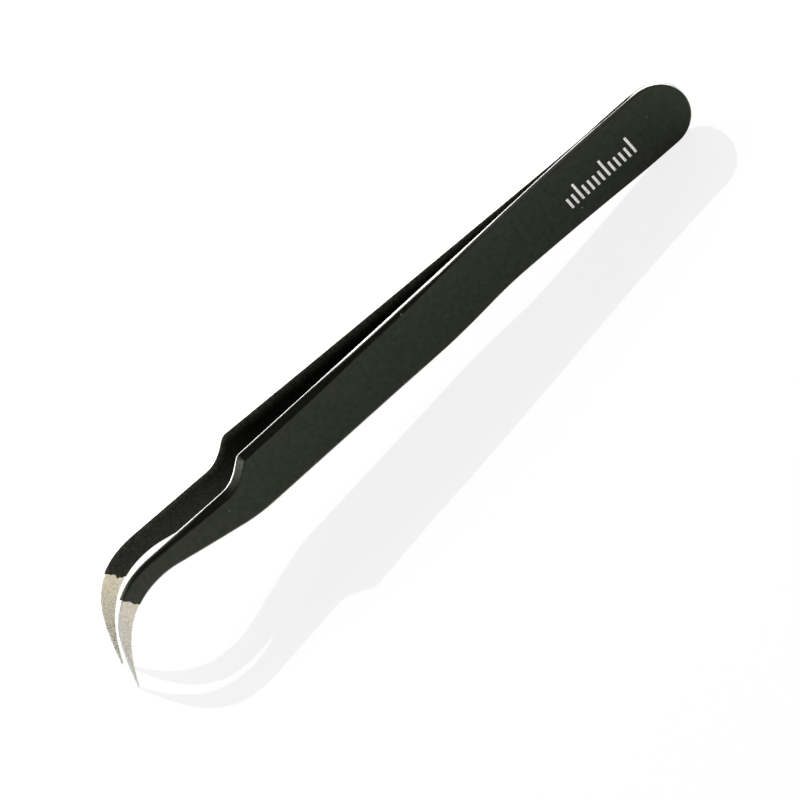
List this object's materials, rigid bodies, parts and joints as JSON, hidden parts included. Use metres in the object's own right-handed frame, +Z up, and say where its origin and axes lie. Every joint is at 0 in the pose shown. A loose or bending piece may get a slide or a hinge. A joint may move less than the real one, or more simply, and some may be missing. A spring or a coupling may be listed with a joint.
{
  "type": "curved tweezers",
  "caption": "Curved fine-point tweezers: bowed, notched arms welded at the butt, in a black anti-static coating, with bare steel sickle tips that close when squeezed.",
  "frame": {"origin": "on the surface that the tweezers stand on, under the middle of their box", "axes": "+X towards the welded butt, -X towards the points; +Y across the gap, from the front arm to the rear arm; +Z up, the straight convex edge up and the points down"},
  "size_m": [0.1156, 0.0106, 0.0153],
  "materials": {
    "stainless_steel": "fine satin, ground and tumbled",
    "weld_metal": "as welded",
    "black_coating": "satin sprayed epoxy with a fine grain"
  },
  "bodies": {
    "butt": {"front_butt_leaf": "stainless_steel", "rear_butt_leaf": "stainless_steel", "spot_welds": "weld_metal", "butt_coating": "black_coating"},
    "front_arm": {"front_arm": "stainless_steel", "front_arm_coating": "black_coating"},
    "rear_arm": {"rear_arm": "stainless_steel", "rear_arm_coating": "black_coating"}
  },
  "joints": [
    {"name": "front_arm_flex", "type": "hinge", "parent": "butt", "child": "front_arm", "pos_m": [0.03679, -0.00017, 0.0064], "axis": [-0.0672, 0, -0.9977], "range_deg": [0, 2.66], "stiffness_Nm_per_rad": 2},
    {"name": "rear_arm_flex", "type": "hinge", "parent": "butt", "child": "rear_arm", "pos_m": [0.03679, 0.00017, 0.0064], "axis": [0.0672, 0, 0.9977], "range_deg": [0, 2.66], "stiffness_Nm_per_rad": 2}
  ],
  "couplings": [
    {"joint": "rear_arm_flex", "follows": "front_arm_flex", "ratio": 1}
  ]
}
